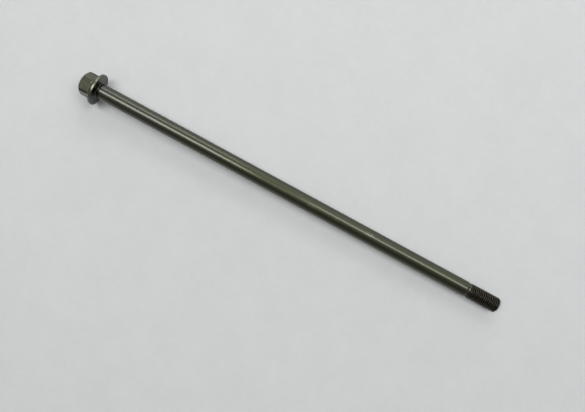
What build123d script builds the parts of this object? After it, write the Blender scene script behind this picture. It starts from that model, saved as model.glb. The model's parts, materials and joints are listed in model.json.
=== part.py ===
from build123d import *

import os
from math import asin, atan2, cos, degrees, hypot, radians, sin, sqrt, tan

# A long hex flange bolt: one piece of steel, with a forged head, a turned shank and a rolled thread.
# It is built upright, with its axis on Z, the bearing face at Z = 0, the head above and the thread below.
# It is then laid on the plane Z = 0, where it rests on the flange rim and on the end of the thread.

# Driving dimensions, in millimetres and degrees

# Shank and thread
length_under_head = 284.4  # bearing face to the end of the thread
shank_diameter = 9.85
thread_diameter = 9.85  # over the crests: a plain cylinder stands for the M10 x 1.25 thread
threaded_length = 23.2  # shoulder to the end, with the neck
shoulder_length = 1.0  # taper from the shank down to the neck
neck_diameter = 9.18  # the blank that the thread is rolled on
neck_length = 0.9
runout_length = 1.9  # the crests grow to full height over this length
end_chamfer = 1.0  # 45 degrees
end_round = 0.25  # where the chamfer meets the crests

# Flange
flange_diameter = 20.5
rim_thickness = 1.6
rim_round = 0.5  # on the bearing side, where the rim stands on the table
rim_top_round = 0.35
flange_slope = 29.0  # of the upper side, from the bearing plane
under_head_radius = 0.95  # fillet between the shank and the bearing face

# Hex
head_height = 11.05  # bearing face to the top
across_flats = 13.95
corner_round = 1.2
top_circle_diameter = 11.4  # where the chamfer meets the top
top_chamfer_angle = 40.0  # from the top plane
hex_blend = 0.4  # fillet between the hexagon and the flange
hex_roll = 13.7  # as it lies: the uppermost flat leans this far towards -Y

# Worked out from the values above
shank_radius = shank_diameter / 2
thread_radius = thread_diameter / 2
neck_radius = neck_diameter / 2
flange_radius = flange_diameter / 2
slope = tan(radians(flange_slope))
apex_height = rim_thickness + flange_radius * slope  # where the flange's cone would meet the axis


def turned_section():
    """Half of the lengthwise section: flange, shank, neck and thread, as radius and height."""
    shoulder = threaded_length - length_under_head
    neck_start = shoulder - shoulder_length
    neck_end = neck_start - neck_length
    full_thread = neck_end - runout_length
    corners = [
        (0, apex_height),
        (flange_radius, rim_thickness),
        (flange_radius, 0),
        (shank_radius, 0),
        (shank_radius, shoulder),
        (neck_radius, neck_start),
        (neck_radius, neck_end),
        (thread_radius, full_thread),
        (thread_radius, end_chamfer - length_under_head),
        (thread_radius - end_chamfer, -length_under_head),
        (0, -length_under_head),
    ]
    rounds = {1: rim_top_round, 2: rim_round, 3: under_head_radius, 8: end_round}
    section = make_face(Polyline(*corners, close=True))
    for index, radius in rounds.items():
        corner = section.vertices().sort_by_distance(corners[index])[0]
        section = fillet(corner, radius)
    return Plane.XZ * section


def hexagon():
    """The hexagon with its six edges rounded, under the cone that chamfers its top."""
    corner_angle = 30 - hex_roll  # the flats face midway between the corners
    outline = RegularPolygon(across_flats / 2, 6, major_radius=False, rotation=corner_angle)
    prism = extrude(fillet(outline.vertices(), corner_round), head_height)
    top_radius = top_circle_diameter / 2
    foot_radius = top_radius + head_height / tan(radians(top_chamfer_angle))
    chamfer = Cone(foot_radius, top_radius, head_height, align=(Align.CENTER, Align.CENTER, Align.MIN))
    return prism & chamfer


def upright_bolt():
    """The whole bolt, with a fillet where the hexagon stands on the flange."""
    bolt = revolve(turned_section(), Axis.Z) + hexagon()
    highest = apex_height - slope * (across_flats / 2 - corner_round)
    lowest = apex_height - slope * (across_flats / sqrt(3) + corner_round)

    def is_seam(edge):
        box = edge.bounding_box()
        return lowest < box.min.Z and box.max.Z < highest

    return fillet(bolt.edges().filter_by(is_seam), hex_blend)


def laid_down(bolt):
    """The bolt at rest on Z = 0: its axis runs along +X and dips from the flange to the thread's end."""
    reach = length_under_head - end_chamfer + rim_round
    rise = flange_radius - rim_round - thread_radius
    dip = atan2(rise, reach) + asin(rim_round / hypot(rise, reach))
    height = rim_round * (1 - sin(dip)) + (flange_radius - rim_round) * cos(dip)
    lying = Pos(Z=height) * Rot(Y=degrees(dip) - 90) * bolt
    return Pos(X=-lying.bounding_box().center().X) * lying


os.makedirs("parts", exist_ok=True)
export_step(laid_down(upright_bolt()), "parts/flange_bolt.step")
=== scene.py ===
import json
from math import atan, cos, pi, radians, sin, tan

import bpy
import numpy as np
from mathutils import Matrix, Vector


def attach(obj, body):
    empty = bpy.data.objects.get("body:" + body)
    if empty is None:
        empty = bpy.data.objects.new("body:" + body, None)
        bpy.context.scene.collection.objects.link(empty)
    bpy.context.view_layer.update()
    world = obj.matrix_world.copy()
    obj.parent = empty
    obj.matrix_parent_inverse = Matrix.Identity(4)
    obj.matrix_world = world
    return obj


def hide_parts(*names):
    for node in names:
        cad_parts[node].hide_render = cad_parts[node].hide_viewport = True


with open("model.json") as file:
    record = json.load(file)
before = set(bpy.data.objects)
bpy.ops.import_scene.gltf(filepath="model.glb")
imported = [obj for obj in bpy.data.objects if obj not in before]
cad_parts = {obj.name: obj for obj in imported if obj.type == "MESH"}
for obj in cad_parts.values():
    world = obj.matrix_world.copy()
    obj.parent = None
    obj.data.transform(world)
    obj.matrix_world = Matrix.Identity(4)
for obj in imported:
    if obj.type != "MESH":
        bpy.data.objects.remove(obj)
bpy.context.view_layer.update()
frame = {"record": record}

# ---------------------------------------------------------------------------
# Sizes, in millimetres and degrees. The lengthwise ones come from the record's mounts.
# ---------------------------------------------------------------------------

MM = 0.001
mounts = {mount["name"]: mount for mount in frame["record"]["mounts"]}
axis = Vector(mounts["shank"]["axis"]).normalized()
shank_middle = Vector(mounts["shank"]["pos_m"])


def along_axis(name):
    """How far a mount lies along the bolt from the middle of the shank, in millimetres."""
    return (Vector(mounts[name]["pos_m"]) - shank_middle).dot(axis) / MM


bearing_at = along_axis("bearing_face")
bearing_centre = shank_middle + axis * bearing_at * MM
head_height = bearing_at - along_axis("hexagon")
shank_radius = mounts["shank"]["dims"]["r_mm"]
shank_end = mounts["shank"]["dims"]["length_mm"] / 2 - bearing_at
thread_radius = mounts["thread"]["dims"]["r_mm"]
crests_end = along_axis("thread") + mounts["thread"]["dims"]["length_mm"] / 2 - bearing_at

end_round = 0.25  # of the solid: it sets how far the thread's mount stops short of the chamfer
end_chamfer = 1.0
bolt_length = crests_end + end_round * tan(radians(22.5)) + end_chamfer

shoulder_length = 1.0
neck_radius = 4.59
neck_length = 0.9
runout_length = 1.9
pitch = 1.25

flange_radius = 10.25
rim_thickness = 1.6
rim_round = 0.5
rim_top_round = 0.35
flange_slope = tan(radians(29.0))
under_head_radius = 0.95

flat_distance = 13.95 / 2
corner_round = 1.2
top_circle = 11.4 / 2
top_slope = tan(radians(40.0))
hex_blend = 0.4
hex_roll = 13.7

# Small roundings that only this mesh has
top_round = 0.3
chamfer_round = 0.5
shoulder_round = 0.5
neck_round = 0.4
tip_round = 0.2


# ---------------------------------------------------------------------------
# Columns: the angles round the axis, closer together on the rounded hexagon corners
# ---------------------------------------------------------------------------

FLAT_STEPS = 20
CORNER_STEPS = 8


def column_angles():
    """Angles from straight up towards -Y, one full turn that starts on a corner of the hexagon."""
    tangent = (flat_distance - corner_round) * tan(pi / 6)
    half_flat = atan(tangent / flat_distance)
    across_flat = np.arctan(np.linspace(-tangent, tangent, FLAT_STEPS + 1)[:-1] / flat_distance)
    across_corner = np.linspace(half_flat, pi / 3 - half_flat, CORNER_STEPS + 1)[:-1]
    sector = np.concatenate([across_flat, across_corner])
    return radians(hex_roll) + np.concatenate([sector + k * pi / 3 for k in range(6)])


def hexagon_radius(angles):
    """Distance from the axis to the side of the rounded hexagon."""
    from_flat = (angles - radians(hex_roll) + pi / 6) % (pi / 3) - pi / 6
    flat = flat_distance / np.cos(from_flat)
    centre = (flat_distance - corner_round) / cos(pi / 6)
    from_corner = pi / 6 - np.abs(from_flat)
    corner = centre * np.cos(from_corner)
    corner = corner + np.sqrt(np.maximum(corner_round**2 - (centre * np.sin(from_corner)) ** 2, 0))
    in_flat = np.abs(from_flat) <= atan((flat_distance - corner_round) * tan(pi / 6) / flat_distance)
    return np.where(in_flat, flat, corner)


# ---------------------------------------------------------------------------
# Rows: rings along the bolt, each with its own place and radius in every column
# ---------------------------------------------------------------------------


def straight(start, end, steps):
    """Rings between two points of the section, without the end ring."""
    return [start + (end - start) * k / steps for k in range(steps)]


def rounded(before, corner, after, radius, steps):
    """Rings along the arc that rounds a corner of the section, from tangent to tangent."""
    inward = before - corner
    onward = after - corner
    inward = inward / np.linalg.norm(inward, axis=0)
    onward = onward / np.linalg.norm(onward, axis=0)
    half_turn = (pi - np.arccos(np.clip((inward * onward).sum(0), -1, 1))) / 2
    middle = inward + onward
    middle = middle / np.linalg.norm(middle, axis=0)
    centre = corner + middle * radius / np.cos(half_turn)
    side = onward - inward
    side = side / np.linalg.norm(side, axis=0)
    turns = [half_turn * (2 * k / steps - 1) for k in range(steps + 1)]
    return [centre + radius * (np.sin(turn) * side - np.cos(turn) * middle) for turn in turns]


def head_and_shank(angles):
    """Rings from the middle of the head's top to the end of the neck, as places and radii."""
    ones = np.ones_like(angles)
    side = hexagon_radius(angles)

    def point(place, radius):
        return np.array([place * ones, radius * ones])

    apex = rim_thickness + flange_radius * flange_slope
    neck_start = shank_end + shoulder_length
    # Corners of the section: the point, its rounding, rings on that arc, rings on the run to the next
    section = [
        (point(-head_height, 0), 0, 0, 6),
        (point(-head_height, top_circle), top_round, 4, 2),
        (point(-head_height + (side - top_circle) * top_slope, side), chamfer_round, 6, 8),
        (point(side * flange_slope - apex, side), hex_blend, 6, 6),
        (point(-rim_thickness, flange_radius), rim_top_round, 6, 1),
        (point(0, flange_radius), rim_round, 10, 6),
        (point(0, shank_radius), under_head_radius, 10, 64),
        (point(shank_end, shank_radius), shoulder_round, 4, 1),
        (point(neck_start, neck_radius), neck_round, 4, 2),
        (point(neck_start + neck_length, neck_radius), 0, 0, 0),
    ]
    rings = []
    last = section[0][0]
    neighbours = zip(section, section[1:], section[2:] + [section[-1]])
    for (*_, run_steps), (corner, radius, arc_steps, _), (after, *_) in neighbours:
        arc = rounded(last, corner, after, radius, arc_steps) if radius else [corner]
        rings += straight(last, arc[0], run_steps)
        rings += arc[:-1]
        last = arc[-1]
    return rings + [last]


# ---------------------------------------------------------------------------
# Thread
# ---------------------------------------------------------------------------

FLANK_ANGLE = radians(30)
CREST_HALF = pitch / 16
ROOT_RADIUS = 0.144 * pitch
CREST_SOFTNESS = 0.12  # rounding of the crests' edges
CHAMFER_SOFTNESS = 0.1  # rounding where the end chamfer cuts the crests


def soft_minimum(a, b, width):
    """The smaller of two values, with the step between them rounded."""
    near = np.maximum(width - np.abs(a - b), 0) / width
    return np.minimum(a, b) - near**2 * width / 4


def thread_depth(offset):
    """Depth under the crests at a distance along the axis from the middle of a crest."""
    away = np.abs((offset + pitch / 2) % pitch - pitch / 2)
    flank = (away - CREST_HALF) / tan(FLANK_ANGLE)
    sharp_root = (pitch / 2 - CREST_HALF) / tan(FLANK_ANGLE)
    to_root = pitch / 2 - away
    arc = sharp_root - 2 * ROOT_RADIUS + np.sqrt(np.maximum(ROOT_RADIUS**2 - to_root**2, 0))
    depth = np.where(to_root < ROOT_RADIUS * cos(FLANK_ANGLE), arc, flank)
    return -soft_minimum(-depth, 0, CREST_SOFTNESS)


def smooth_step(x):
    """Eased rise from 0 to 1."""
    x = np.clip(x, 0, 1)
    return x * x * (3 - 2 * x)


def crest_rows():
    """Offsets of one pitch's rows from the middle of a crest, closest where the section curves."""
    root_half = ROOT_RADIUS * cos(FLANK_ANGLE)
    crest = np.linspace(-1.5 * CREST_HALF, 1.5 * CREST_HALF, 7)
    fall = np.linspace(1.5 * CREST_HALF, pitch / 2 - root_half, 4)[1:-1]
    root = np.linspace(pitch / 2 - root_half, pitch / 2 + root_half, 7)
    rise = np.linspace(pitch / 2 + root_half, pitch - 1.5 * CREST_HALF, 4)[1:-1]
    return np.concatenate([crest, fall, root, rise])


def threaded_end(angles, start, end):
    """Rows that follow the right-hand helix, stopped on a flat ring at each end of the thread."""
    climb = pitch * (angles - angles[0]) / (2 * pi)
    turns = int((end - start) / pitch) + 3
    offsets = crest_rows()
    rows = []
    for turn in range(turns):
        for offset in offsets:
            helix = (turn - 1) * pitch + offset - offsets[0]
            place = np.clip(start + helix + climb, start, end)
            grown = smooth_step((place - start) / runout_length)
            depth = thread_depth(place - start - climb + offsets[0])
            radius = neck_radius + (thread_radius - depth - neck_radius) * grown
            chamfer = thread_radius - end_chamfer + bolt_length - place
            rows.append(np.array([place, soft_minimum(radius, chamfer, CHAMFER_SOFTNESS)]))
    return rows


def tip(angles):
    """Rings over the rounded edge of the end chamfer and in to the middle of the end."""
    ones = np.ones_like(angles)
    end_radius = thread_radius - end_chamfer
    chamfer = np.array([(bolt_length - 1) * ones, (end_radius + 1) * ones])
    corner = np.array([bolt_length * ones, end_radius * ones])
    middle = np.array([bolt_length * ones, 0 * ones])
    arc = rounded(chamfer, corner, middle, tip_round, 4)
    return arc + straight(arc[-1], middle, 6)[1:] + [middle]


# ---------------------------------------------------------------------------
# The bolt's mesh
# ---------------------------------------------------------------------------


def bolt_mesh():
    """One closed mesh: straight rings for the head and shank, helical rows for the thread."""
    angles = column_angles()
    columns = len(angles)
    rings = head_and_shank(angles)
    end_rings = tip(angles)
    thread = threaded_end(angles, float(rings[-1][0][0]), float(end_rings[0][0][0]))
    rows = np.array(rings + thread + end_rings)
    # A full turn climbs one pitch, so each threaded row meets the one a pitch further on at the seam
    across_seam = np.arange(len(rows))
    threaded = slice(len(rings), len(rings) + len(thread))
    across_seam[threaded] = np.minimum(across_seam[threaded] + len(crest_rows()), threaded.stop - 1)

    places, radii = rows[:, 0], rows[:, 1]
    vertical = Vector((0, 0, 1))
    up = np.array((vertical - axis * vertical.dot(axis)).normalized())
    side = np.cross(np.array(axis), up)
    outward = np.cos(angles)[:, None] * up + np.sin(angles)[:, None] * side
    points = np.array(bearing_centre) / MM + places[..., None] * np.array(axis) + radii[..., None] * outward

    index = np.arange(len(rows) * columns).reshape(len(rows), columns)
    wrapped = np.column_stack([index, index[across_seam, 0]])
    quads = np.stack([wrapped[:-1, :-1], wrapped[:-1, 1:], wrapped[1:, 1:], wrapped[1:, :-1]], axis=-1)
    return points.reshape(-1, 3), quads.reshape(-1, 4), places.ravel(), radii.ravel()


def merged(points, quads, *values):
    """Joins points that coincide and drops the sides of faces that this closes up."""
    _, first, same = np.unique(np.round(points, 5), axis=0, return_index=True, return_inverse=True)
    faces = []
    for quad in same.ravel()[quads]:
        face = [corner for k, corner in enumerate(quad) if corner != quad[k - 1]]
        if len(set(face)) > 2:
            faces.append(face)
    return points[first], faces, [value[first] for value in values]


HEAD_END = -0.2  # faces before this place have the head's steel


def make_bolt():
    """The bolt as one object, with its place and radius stored on every point for the materials."""
    points, quads, places, radii = bolt_mesh()
    points, faces, (places, radii) = merged(points, quads, places, radii)
    mesh = bpy.data.meshes.new("flange_bolt_surface")
    mesh.from_pydata((points * MM).tolist(), [], faces)
    mesh.shade_smooth()
    for name, values in (("place", places), ("radius", radii)):
        mesh.attributes.new(name, "FLOAT", "POINT").data.foreach_set("value", values)
    for face in mesh.polygons:
        middle = float(places[list(face.vertices)].mean())
        face.material_index = 0 if middle < HEAD_END else 1 if middle < shank_end else 2
    bolt = bpy.data.objects.new("flange_bolt_surface", mesh)
    bpy.context.scene.collection.objects.link(bolt)
    weighted = bolt.modifiers.new("weighted_normals", "WEIGHTED_NORMAL")
    weighted.weight = 100
    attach(bolt, "root")
    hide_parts("flange_bolt")
    return bolt


# ---------------------------------------------------------------------------
# Materials
# ---------------------------------------------------------------------------

# Linear tones of the shank, the head, the thread and the paper
SHANK_OLIVE = (0.039, 0.046, 0.023)
SHANK_BROWN = (0.043, 0.045, 0.025)
SHANK_GREY = (0.047, 0.050, 0.038)
SHANK_PALE = (0.060, 0.063, 0.041)
RUBBED = (0.22, 0.22, 0.20)
# Painted shade for the fillet under the head, which darkens out the lamps' reflection there
FILLET_SHADE = (0.009, 0.008, 0.005)
FACE_BROWN = (0.011, 0.009, 0.006)
HEAD_OLIVE = (0.081, 0.092, 0.056)
HEAD_BROWN = (0.090, 0.088, 0.061)
HEAD_PALE = (0.16, 0.165, 0.125)
# Painted shade along the hexagon's side edges
HEAD_EDGE_SHADE = (0.019, 0.020, 0.013)
# Painted shade in the thread's roots; the crests' tone is rubbed wear together with painted highlight
ROOT_SHADE = (0.011, 0.010, 0.006)
CREST_WEAR_AND_GLINT = (0.13, 0.124, 0.082)
NECK = (0.068, 0.068, 0.046)
END_DARK = (0.040, 0.040, 0.027)

# Where the hexagon's side edges get painted shade: the radii that lead up to them, and places clear of the
# flange
EDGE_RADII = (7.35, 7.75)
CLEAR_OF_FLANGE = (-3.6, -4.6)

PAPER_DARK = (0.495, 0.510, 0.510)
PAPER_PALE = (0.526, 0.540, 0.537)
FAR_PAPER = (0.61, 0.62, 0.62)
FAR_FROM = (260, 800)  # millimetres from the middle, over which the paper goes over into FAR_PAPER

# Rubbed marks on the shank: place along it, distance to +Y, half length, half width, strength
RUBBED_MARKS = [
    (151.0, -1.2, 4.0, 1.6, 0.3),
    (169.0, -1.0, 2.5, 1.2, 0.2),
    (191.0, 1.2, 4.5, 1.4, 0.9),
]
UPPER_SIDE = (5.0, 9.0)  # heights above the table over which the marks fade in


def new_material(name):
    """A node material, with its tree and its shader."""
    material = bpy.data.materials.new(name)
    material.use_nodes = True
    return material, material.node_tree, material.node_tree.nodes["Principled BSDF"]


def math_node(tree, operation, *values):
    """A Math node fed with numbers or sockets."""
    node = tree.nodes.new("ShaderNodeMath")
    node.operation = operation
    for slot, value in zip(node.inputs, values):
        if isinstance(value, (int, float)):
            slot.default_value = value
        else:
            tree.links.new(value, slot)
    return node.outputs[0]


def ramp(tree, value, start, end, low=0.0, high=1.0):
    """Smooth change from one level to another as a value goes from start to end."""
    node = tree.nodes.new("ShaderNodeMapRange")
    node.interpolation_type = "SMOOTHSTEP"
    tree.links.new(value, node.inputs["Value"])
    for name, number in (("From Min", start), ("From Max", end), ("To Min", low), ("To Max", high)):
        node.inputs[name].default_value = number
    return node.outputs["Result"]


def blend(tree, factor, first, second):
    """Mix of two colours, each a tuple or a socket."""
    node = tree.nodes.new("ShaderNodeMix")
    node.data_type = "RGBA"
    tree.links.new(factor, node.inputs["Factor"])
    for slot, value in ((node.inputs[6], first), (node.inputs[7], second)):
        if isinstance(value, tuple):
            slot.default_value = (*value, 1)
        else:
            tree.links.new(value, slot)
    return node.outputs[2]


def attribute(tree, name):
    """A number stored on the mesh's points."""
    node = tree.nodes.new("ShaderNodeAttribute")
    node.attribute_name = name
    return node.outputs["Fac"]


def position(tree, scale=(1000, 1000, 1000)):
    """Place in the object, by default in millimetres."""
    node = tree.nodes.new("ShaderNodeMapping")
    tree.links.new(tree.nodes.new("ShaderNodeTexCoord").outputs["Object"], node.inputs["Vector"])
    node.inputs["Scale"].default_value = scale
    return node.outputs["Vector"]


def noise(tree, vector, size, detail=2.0, roughness=0.5):
    """Noise with blobs of about the given size in the vector's units."""
    node = tree.nodes.new("ShaderNodeTexNoise")
    tree.links.new(vector, node.inputs["Vector"])
    node.inputs["Scale"].default_value = 1 / size
    node.inputs["Detail"].default_value = detail
    node.inputs["Roughness"].default_value = roughness
    return node.outputs["Fac"]


def bump(tree, shader, height, depth):
    """Relief of the given depth in millimetres."""
    node = tree.nodes.new("ShaderNodeBump")
    node.inputs["Distance"].default_value = depth * MM
    tree.links.new(height, node.inputs["Height"])
    tree.links.new(node.outputs["Normal"], shader.inputs["Normal"])


def steel(name, coat, coat_roughness):
    """Dark coated steel under a film of oil, which gives the neutral gloss over the olive colour."""
    material, tree, shader = new_material(name)
    shader.inputs["Metallic"].default_value = 1.0
    shader.inputs["Coat Weight"].default_value = coat
    shader.inputs["Coat Roughness"].default_value = coat_roughness
    return material, tree, shader


def shank_steel():
    """Drawn and ground bar: smooth, with lengthwise streaks, rubbed marks and painted shade in the fillet
    under the head.
    """
    material, tree, shader = steel("shank_dark_steel", 0.55, 0.12)
    place = attribute(tree, "place")
    parts = tree.nodes.new("ShaderNodeSeparateXYZ")
    tree.links.new(position(tree), parts.inputs[0])

    drift = noise(tree, position(tree, (300, 1000, 1000)), 9, 3)
    tone = blend(tree, ramp(tree, drift, 0.35, 0.65), SHANK_BROWN, SHANK_OLIVE)
    greyer = blend(tree, ramp(tree, drift, 0.3, 0.7), SHANK_GREY, tone)
    tone = blend(tree, ramp(tree, place, 20, 120), greyer, tone)
    streaks = noise(tree, position(tree, (120, 1500, 1500)), 1.0, 4, 0.6)
    tone = blend(tree, ramp(tree, streaks, 0.35, 0.75, 0, 0.22), tone, SHANK_PALE)

    rub = None
    for at, side, half_length, half_width, strength in RUBBED_MARKS:
        along = math_node(tree, "DIVIDE", math_node(tree, "SUBTRACT", place, at), half_length)
        beside = math_node(tree, "SUBTRACT", parts.outputs["Y"], side)
        beside = math_node(tree, "DIVIDE", beside, half_width)
        squares = (math_node(tree, "POWER", along, 2), math_node(tree, "POWER", beside, 2))
        spot = ramp(tree, math_node(tree, "ADD", *squares), 0.1, 1.0, strength, 0)
        rub = spot if rub is None else math_node(tree, "MAXIMUM", rub, spot)
    patches = noise(tree, position(tree, (700, 1000, 1000)), 0.9, 4, 0.7)
    rub = math_node(tree, "MULTIPLY", rub, ramp(tree, patches, 0.47, 0.62))
    rub = math_node(tree, "MULTIPLY", rub, ramp(tree, parts.outputs["Z"], *UPPER_SIDE))
    tone = blend(tree, rub, tone, RUBBED)

    # Painted shade in the fillet under the head, dimming the lamps' reflection in that corner
    corner = math_node(tree, "MULTIPLY", ramp(tree, place, -0.1, 0.05), ramp(tree, place, 1.2, 3.0, 1, 0))
    tone = blend(tree, corner, tone, FILLET_SHADE)
    face = ramp(tree, attribute(tree, "radius"), shank_radius, shank_radius + 0.6)
    tone = blend(tree, face, tone, FACE_BROWN)
    tree.links.new(tone, shader.inputs["Base Color"])

    rough = ramp(tree, noise(tree, position(tree, (250, 1000, 1000)), 3, 4), 0.3, 0.7, 0.42, 0.46)
    rough = math_node(tree, "ADD", rough, math_node(tree, "MULTIPLY", rub, 0.12))
    rough = math_node(tree, "SUBTRACT", rough, math_node(tree, "MULTIPLY", face, 0.15))
    tree.links.new(rough, shader.inputs["Roughness"])

    turning = noise(tree, position(tree, (1000, 60, 60)), 0.12, 2, 0.6)
    bump(tree, shader, turning, 0.0004)
    return material


def head_steel():
    """Forged head: grainier and paler, with a painted highlight that makes the flange's rim palest and
    painted shade along the hexagon's edges.
    """
    material, tree, shader = steel("head_forged_steel", 0.3, 0.3)
    radius = attribute(tree, "radius")
    place = attribute(tree, "place")
    drift = noise(tree, position(tree), 5, 3)
    tone = blend(tree, ramp(tree, drift, 0.35, 0.65), HEAD_BROWN, HEAD_OLIVE)
    lines = noise(tree, position(tree, (1000, 160, 160)), 0.8, 3, 0.6)
    tone = blend(tree, ramp(tree, lines, 0.4, 0.75, 0, 0.4), tone, HEAD_PALE)
    # Painted shade along the hexagon's side edges: it damps the lamps' highlight on the upper edge and
    # darkens the lower edge
    corner = math_node(
        tree, "MULTIPLY", ramp(tree, radius, *EDGE_RADII), ramp(tree, place, *CLEAR_OF_FLANGE)
    )
    tone = blend(tree, math_node(tree, "MULTIPLY", corner, 0.85), tone, HEAD_EDGE_SHADE)
    # Painted highlight: paler metal on the flange's rim, which brightens the lamp's streak there
    rim_sheen = ramp(tree, radius, flange_radius - 0.5, flange_radius - 0.1)
    tone = blend(tree, math_node(tree, "MULTIPLY", rim_sheen, 0.7), tone, HEAD_PALE)
    tree.links.new(tone, shader.inputs["Base Color"])
    rough = ramp(tree, noise(tree, position(tree), 1.5, 4), 0.3, 0.7, 0.34, 0.42)
    tree.links.new(rough, shader.inputs["Roughness"])
    grain = noise(tree, position(tree), 0.35, 5, 0.6)
    bump(tree, shader, grain, 0.02)
    return material


def thread_steel():
    """Rolled thread: painted shade makes the roots nearly black, the crests are paler from rubbed wear and
    painted highlight, with a plain neck and end face.
    """
    material, tree, shader = steel("thread_dark_steel", 0.3, 0.2)
    radius = attribute(tree, "radius")
    worn = noise(tree, position(tree), 1.2, 4, 0.6)
    # Painted shade in the roots, and paler crests that are partly rubbed wear and partly painted highlight
    crest = ramp(tree, radius, thread_radius - 0.3, thread_radius)
    crest = math_node(tree, "MULTIPLY", crest, ramp(tree, worn, 0.3, 0.7, 0.4, 1.0))
    tone = blend(tree, crest, ROOT_SHADE, CREST_WEAR_AND_GLINT)
    neck_end = shank_end + shoulder_length + neck_length
    place = attribute(tree, "place")
    neck = ramp(tree, place, neck_end, neck_end + 0.5, 1, 0)
    tone = blend(tree, neck, tone, NECK)
    end_face = ramp(tree, place, bolt_length - 0.3, bolt_length - 0.05)
    end_tone = blend(tree, ramp(tree, worn, 0.3, 0.7), END_DARK, NECK)
    tone = blend(tree, end_face, tone, end_tone)
    tree.links.new(tone, shader.inputs["Base Color"])
    shader.inputs["Roughness"].default_value = 0.42
    bump(tree, shader, noise(tree, position(tree), 0.25, 3), 0.01)
    return material


def paper():
    """Plain matt pale paper, faintly cloudy, which goes over into the pale background far away."""
    material, tree, shader = new_material("pale_table")
    cloud = noise(tree, position(tree), 40, 6, 0.95)
    tone = blend(tree, ramp(tree, cloud, 0.3, 0.7, 0.0, 1.0), PAPER_DARK, PAPER_PALE)
    tree.links.new(tone, shader.inputs["Base Color"])
    shader.inputs["Roughness"].default_value = 0.9

    length = tree.nodes.new("ShaderNodeVectorMath")
    length.operation = "LENGTH"
    tree.links.new(position(tree), length.inputs[0])
    far = ramp(tree, length.outputs["Value"], *FAR_FROM)
    rays = tree.nodes.new("ShaderNodeLightPath")
    seen = math_node(tree, "MAXIMUM", rays.outputs["Is Camera Ray"], rays.outputs["Is Glossy Ray"])
    seen = math_node(tree, "MAXIMUM", seen, rays.outputs["Is Transmission Ray"])
    background = tree.nodes.new("ShaderNodeEmission")
    background.inputs["Color"].default_value = (*FAR_PAPER, 1)
    mixed = tree.nodes.new("ShaderNodeMixShader")
    tree.links.new(math_node(tree, "MULTIPLY", far, seen), mixed.inputs[0])
    tree.links.new(shader.outputs[0], mixed.inputs[1])
    tree.links.new(background.outputs[0], mixed.inputs[2])
    tree.links.new(mixed.outputs[0], tree.nodes["Material Output"].inputs["Surface"])
    return material


# ---------------------------------------------------------------------------
# Floor, light and camera
# ---------------------------------------------------------------------------

# Levels of the studio overhead and at the horizon, and the degrees above the floor between them
DIM = 0.19
PALE = 0.62
HORIZON_EDGES = (16, 6)

# Soft panels, in metres and watts: name, place, target, size, power
PANELS = [
    ("lamp_left", (-0.43, -0.01, 1.2), (-0.43, -0.01, 0), (0.65, 0.45), 9.2),
    ("lamp_right", (0.47, 0.44, 1.2), (0.47, 0.44, 0), (0.8, 0.5), 8.0),
    ("lamp_side", (0, 1.3, 1.0), (0, 0, 0), (1.6, 0.8), 5.2),
    ("lamp_far", (-0.6, 1.6, 1.1), (-0.2, 0, 0), (0.8, 0.5), 5.5),
    ("lamp_window", (0, 1.2, 0.22), (0, 0, 0.02), (3.0, 0.36), 3.9),
]

# The camera, in metres, degrees and millimetres of focal length
CAMERA_FROM_BEARING = 0.14045
CAMERA_ACROSS = -0.00605
CAMERA_HEIGHT = 0.366
CAMERA_TURN = 28.44
LENS = 35.08


def make_floor():
    """A wide flat table top at the height where the bolt rests."""
    mesh = bpy.data.meshes.new("table")
    half = 6.0
    corners = [(-half, -half, 0), (half, -half, 0), (half, half, 0), (-half, half, 0)]
    mesh.from_pydata(corners, [], [(0, 1, 2, 3)])
    floor = bpy.data.objects.new("table", mesh)
    floor.data.materials.append(paper())
    bpy.context.scene.collection.objects.link(floor)


def add_panel(name, place, target, size, power):
    """A soft rectangular light that faces its target and isn't seen itself."""
    data = bpy.data.lights.new(name, "AREA")
    data.shape = "RECTANGLE"
    data.size, data.size_y = size
    data.energy = power
    panel = bpy.data.objects.new(name, data)
    panel.location = place
    panel.rotation_mode = "QUATERNION"
    panel.rotation_quaternion = (Vector(target) - Vector(place)).to_track_quat("-Z", "Y")
    panel.visible_camera = False
    bpy.context.scene.collection.objects.link(panel)


def make_world():
    """A plain studio, dim overhead and pale near the horizon."""
    world = bpy.data.worlds.new("studio")
    world.use_nodes = True
    tree = world.node_tree
    parts = tree.nodes.new("ShaderNodeSeparateXYZ")
    tree.links.new(tree.nodes.new("ShaderNodeTexCoord").outputs["Generated"], parts.inputs[0])
    high, low = (sin(radians(angle)) for angle in HORIZON_EDGES)
    horizon = ramp(tree, parts.outputs["Z"], low, high, PALE, DIM)
    tree.links.new(horizon, tree.nodes["Background"].inputs["Strength"])
    tree.nodes["Background"].inputs["Color"].default_value = (1, 1, 1, 1)
    bpy.context.scene.world = world


def make_camera():
    """Straight above the table, turned so that the bolt runs down to the right."""
    data = bpy.data.cameras.new("camera")
    data.sensor_width = 36.0
    data.lens = LENS
    data.clip_start = 0.01
    data.clip_end = 20.0
    camera = bpy.data.objects.new("camera", data)
    camera.location = (bearing_centre.x + CAMERA_FROM_BEARING, CAMERA_ACROSS, CAMERA_HEIGHT)
    camera.rotation_euler = (0, 0, radians(CAMERA_TURN))
    bpy.context.scene.collection.objects.link(camera)
    bpy.context.scene.camera = camera


bolt = make_bolt()
for finish in (head_steel(), shank_steel(), thread_steel()):
    bolt.data.materials.append(finish)
make_floor()
make_world()
for panel in PANELS:
    add_panel(*panel)
make_camera()
bpy.context.scene.view_settings.view_transform = "Standard"
